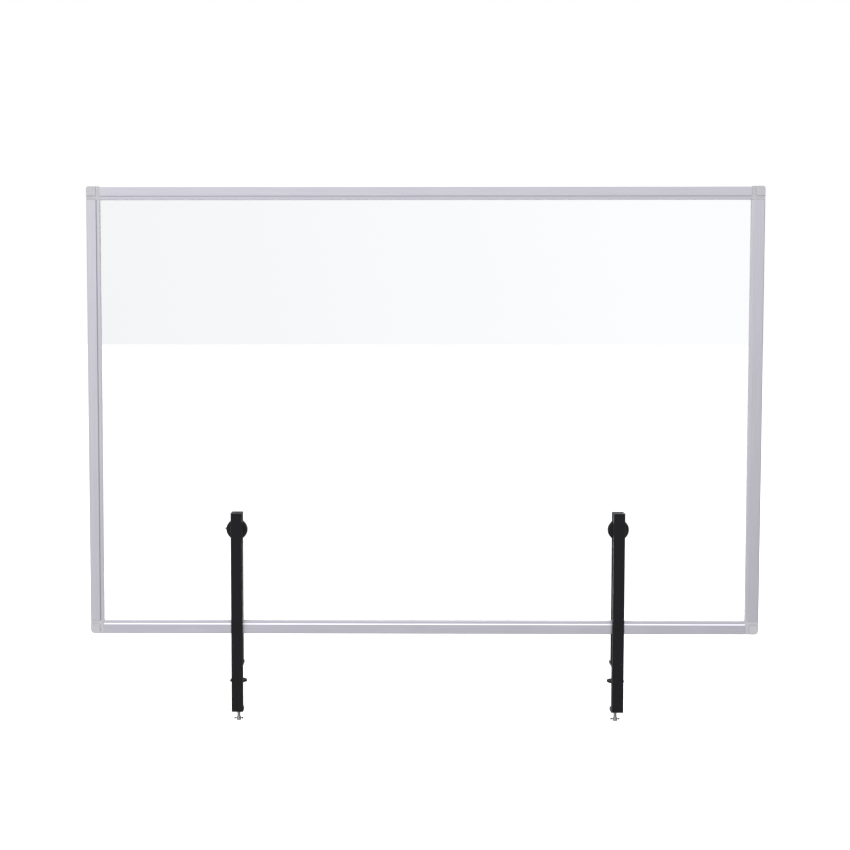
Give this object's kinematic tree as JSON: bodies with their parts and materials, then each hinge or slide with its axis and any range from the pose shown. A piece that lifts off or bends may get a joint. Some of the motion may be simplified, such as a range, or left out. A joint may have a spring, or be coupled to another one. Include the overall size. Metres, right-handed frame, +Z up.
{
  "type": "desk privacy panel",
  "caption": "Clear glass desk privacy panel in a slim silver aluminium frame, held upright on a desk edge by black steel screw clamps that slide along it.",
  "frame": {"origin": "on the upper corner of the desk edge, in the panel's middle plane, midway along the panel; the desk top is z = 0 and the desk edge is y = 0", "axes": "+X along the desk edge, +Y over the desk away from the sitter's side, +Z up"},
  "size_m": [1.05, 0.0465, 0.843],
  "materials": {
    "clear_glass": "polished clear glass",
    "glazing_rubber": "soft matt lip",
    "silver_aluminium": "satin anodised",
    "grey_plastic": "fine moulded texture",
    "zinc_steel": "zinc plated",
    "black_coat": "satin powder coat",
    "black_rubber": "matt",
    "black_felt": "short felt",
    "black_plastic": "satin moulded",
    "bright_steel": "bright plated"
  },
  "bodies": {
    "panel": {"glass_pane": "clear_glass", "glazing_gasket": "glazing_rubber", "frame_top": "silver_aluminium", "frame_bottom": "silver_aluminium", "frame_left": "silver_aluminium", "frame_right": "silver_aluminium", "cap_top_left": "grey_plastic", "cap_top_right": "grey_plastic", "cap_bottom_left": "grey_plastic", "cap_bottom_right": "grey_plastic", "corner_keys": "zinc_steel", "grub_screws": "zinc_steel"},
    "left_clamp": {"left_front_upright": "black_coat", "left_rear_upright": "black_coat", "left_spine": "black_coat", "left_upper_jaw": "black_coat", "left_lower_arm": "black_coat", "left_jaw_pad": "black_rubber", "left_felt_strips": "black_felt", "left_end_caps": "black_plastic", "left_fixing_screws": "zinc_steel", "left_nut_strip": "zinc_steel", "left_upright_foot": "zinc_steel", "left_clamp_bush": "zinc_steel", "left_front_disc": "black_rubber", "left_grip_bush": "zinc_steel"},
    "left_pad": {"left_swivel_pad": "black_coat", "left_pad_rubber": "black_rubber"},
    "left_screw": {"left_clamp_screw": "bright_steel"},
    "left_tommy": {"left_tommy_bar": "bright_steel", "left_tommy_caps": "black_plastic"},
    "left_press": {"left_press_plate": "black_coat", "left_press_rubber": "black_rubber"},
    "left_grip": {"left_grip_screw": "bright_steel", "left_grip_knob": "black_plastic"},
    "right_clamp": {"right_front_upright": "black_coat", "right_rear_upright": "black_coat", "right_spine": "black_coat", "right_upper_jaw": "black_coat", "right_lower_arm": "black_coat", "right_jaw_pad": "black_rubber", "right_felt_strips": "black_felt", "right_end_caps": "black_plastic", "right_fixing_screws": "zinc_steel", "right_nut_strip": "zinc_steel", "right_upright_foot": "zinc_steel", "right_clamp_bush": "zinc_steel", "right_front_disc": "black_rubber", "right_grip_bush": "zinc_steel"},
    "right_pad": {"right_swivel_pad": "black_coat", "right_pad_rubber": "black_rubber"},
    "right_screw": {"right_clamp_screw": "bright_steel"},
    "right_tommy": {"right_tommy_bar": "bright_steel", "right_tommy_caps": "black_plastic"},
    "right_press": {"right_press_plate": "black_coat", "right_press_rubber": "black_rubber"},
    "right_grip": {"right_grip_screw": "bright_steel", "right_grip_knob": "black_plastic"}
  },
  "joints": [
    {"name": "left_clamp_slide", "type": "slide", "parent": "panel", "child": "left_clamp", "axis": [1, 0, 0], "range_m": [-0.19, 0.264]},
    {"name": "left_pad_travel", "type": "slide", "parent": "left_clamp", "child": "left_pad", "axis": [0, 0, 1], "range_m": [-0.026, 0.0075]},
    {"name": "left_screw_spin", "type": "hinge", "parent": "left_pad", "child": "left_screw", "pos_m": [-0.294, 0.0165, -0.0865], "axis": [0, 0, 1], "range_deg": [-9360, 2700]},
    {"name": "left_tommy_slide", "type": "slide", "parent": "left_screw", "child": "left_tommy", "axis": [1, 0, 0], "range_m": [-0.0013, 0.0013]},
    {"name": "left_press_travel", "type": "slide", "parent": "left_clamp", "child": "left_press", "axis": [0, 1, 0], "range_m": [0, 0.0008]},
    {"name": "left_grip_spin", "type": "hinge", "parent": "left_press", "child": "left_grip", "pos_m": [-0.294, 0, 0.218], "axis": [0, 1, 0], "range_deg": [0, 288]},
    {"name": "right_clamp_slide", "type": "slide", "parent": "panel", "child": "right_clamp", "axis": [1, 0, 0], "range_m": [-0.275, 0.179]},
    {"name": "right_pad_travel", "type": "slide", "parent": "right_clamp", "child": "right_pad", "axis": [0, 0, 1], "range_m": [-0.026, 0.0075]},
    {"name": "right_screw_spin", "type": "hinge", "parent": "right_pad", "child": "right_screw", "pos_m": [0.3045, 0.0165, -0.0865], "axis": [0, 0, 1], "range_deg": [-9360, 2700]},
    {"name": "right_tommy_slide", "type": "slide", "parent": "right_screw", "child": "right_tommy", "axis": [1, 0, 0], "range_m": [-0.0013, 0.0013]},
    {"name": "right_press_travel", "type": "slide", "parent": "right_clamp", "child": "right_press", "axis": [0, 1, 0], "range_m": [0, 0.0008]},
    {"name": "right_grip_spin", "type": "hinge", "parent": "right_press", "child": "right_grip", "pos_m": [0.3045, 0, 0.218], "axis": [0, 1, 0], "range_deg": [0, 288]}
  ],
  "couplings": [
    {"joint": "left_screw_spin", "follows": "left_pad_travel", "rad_per_m": 6283.2},
    {"joint": "left_grip_spin", "follows": "left_press_travel", "rad_per_m": 6283.2},
    {"joint": "right_screw_spin", "follows": "right_pad_travel", "rad_per_m": 6283.2},
    {"joint": "right_grip_spin", "follows": "right_press_travel", "rad_per_m": 6283.2}
  ]
}
